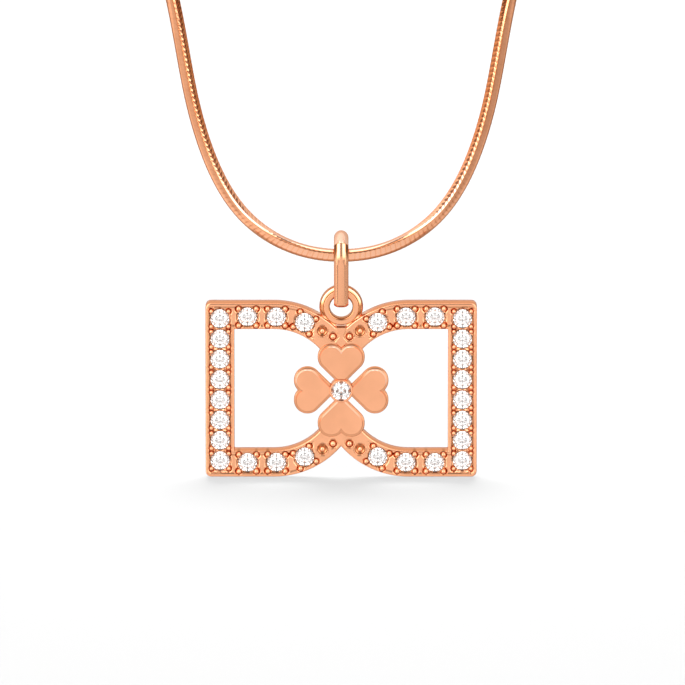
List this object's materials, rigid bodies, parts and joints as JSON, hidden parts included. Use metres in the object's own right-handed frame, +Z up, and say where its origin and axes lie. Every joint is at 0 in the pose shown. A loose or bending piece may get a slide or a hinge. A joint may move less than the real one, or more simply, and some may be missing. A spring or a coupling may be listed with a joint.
{
  "type": "diamond necklace",
  "caption": "Rose-gold pendant necklace: snake chain, tall bail, and an open-work pendant of two half-round wings set with small diamonds round a four-leaf clover.",
  "frame": {"origin": "on the front of the clasp, where it rests on the nape of the wearer's neck", "axes": "+Z up, -Y to the front, from the nape towards the pendant, +X to the right of someone who looks at the pendant"},
  "size_m": [0.1144, 0.1214, 0.1116],
  "materials": {
    "rose_gold_chain": "polished snake chain",
    "rose_gold": "polished",
    "diamond": "cut and polished"
  },
  "bodies": {
    "root": {"chain": "rose_gold_chain", "clasp": "rose_gold"},
    "bail": {"bail": "rose_gold"},
    "pendant": {"pendant": "rose_gold", "stone_centre": "diamond", "stone_left_top_1": "diamond", "stone_left_top_2": "diamond", "stone_left_top_3": "diamond", "stone_left_top_4": "diamond", "stone_left_top_5": "diamond", "stone_left_top_6": "diamond", "stone_left_top_7": "diamond", "stone_left_low_1": "diamond", "stone_left_low_2": "diamond", "stone_left_low_3": "diamond", "stone_left_low_4": "diamond", "stone_left_low_5": "diamond", "stone_left_low_6": "diamond", "stone_left_low_7": "diamond", "stone_right_top_1": "diamond", "stone_right_top_2": "diamond", "stone_right_top_3": "diamond", "stone_right_top_4": "diamond", "stone_right_top_5": "diamond", "stone_right_top_6": "diamond", "stone_right_top_7": "diamond", "stone_right_low_1": "diamond", "stone_right_low_2": "diamond", "stone_right_low_3": "diamond", "stone_right_low_4": "diamond", "stone_right_low_5": "diamond", "stone_right_low_6": "diamond", "stone_right_low_7": "diamond"}
  },
  "joints": [
    {"name": "bail_swing", "type": "hinge", "parent": "root", "child": "bail", "pos_m": [0, -0.1173, -0.0925], "axis": [1, 0, 0], "range_deg": [-60, 60]},
    {"name": "pendant_swing", "type": "hinge", "parent": "bail", "child": "pendant", "pos_m": [0, -0.1173, -0.09665], "axis": [0, 1, 0], "range_deg": [-35, 35]}
  ]
}
